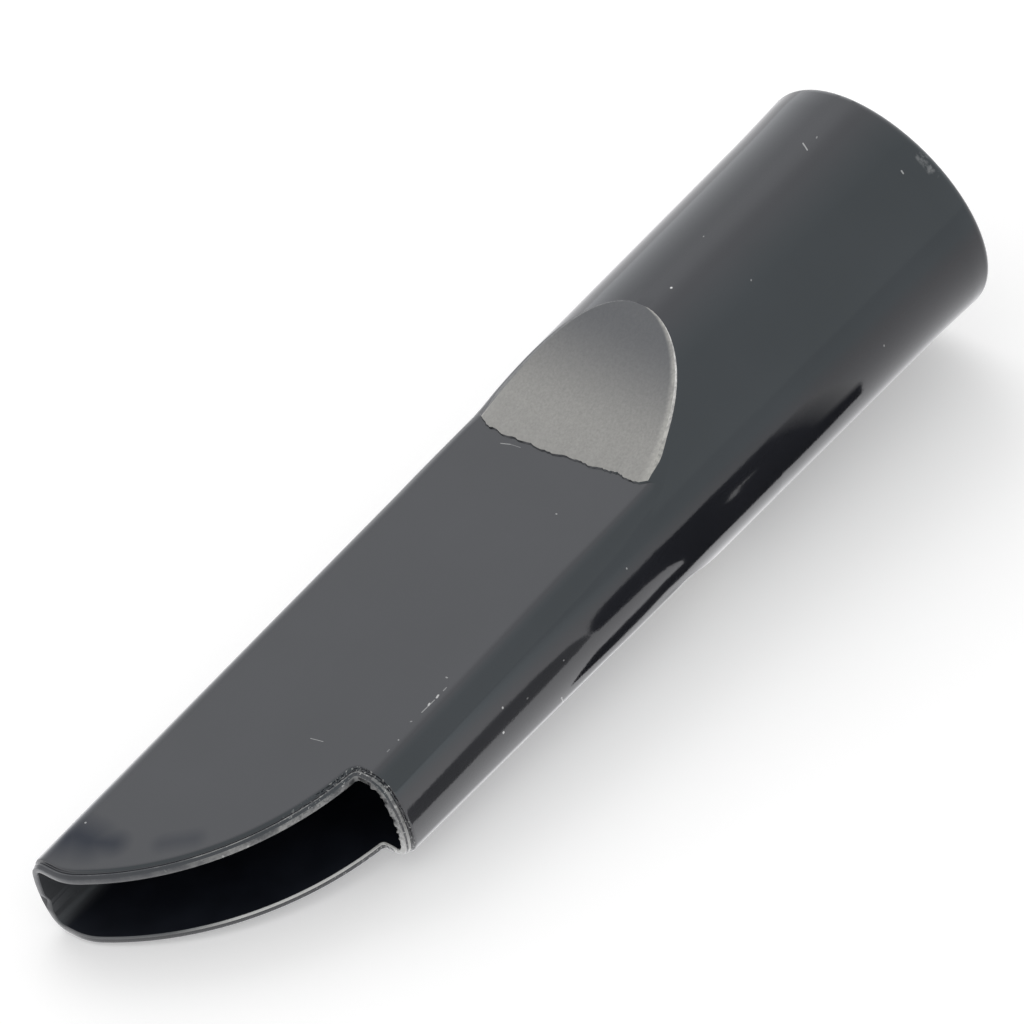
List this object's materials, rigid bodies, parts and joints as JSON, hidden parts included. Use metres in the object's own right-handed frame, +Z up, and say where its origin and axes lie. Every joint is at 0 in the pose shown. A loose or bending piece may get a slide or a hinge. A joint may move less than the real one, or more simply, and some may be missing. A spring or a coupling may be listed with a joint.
{
  "type": "vacuum crevice nozzle",
  "caption": "Round moulded socket that narrows through slanted scoops to a flat hollow blade with a curved, notched suction opening.",
  "frame": {"origin": "centre of the socket's mouth", "axes": "+X out of the mouth along the socket's axis, +Z up, square to the flat faces of the blade; the notch is on the -Y side"},
  "size_m": [0.1577, 0.0392, 0.0392],
  "materials": {
    "nozzle": "charcoal, moulded gloss, with matt scoops"
  },
  "bodies": {
    "root": {"nozzle": "nozzle"}
  },
  "joints": []
}
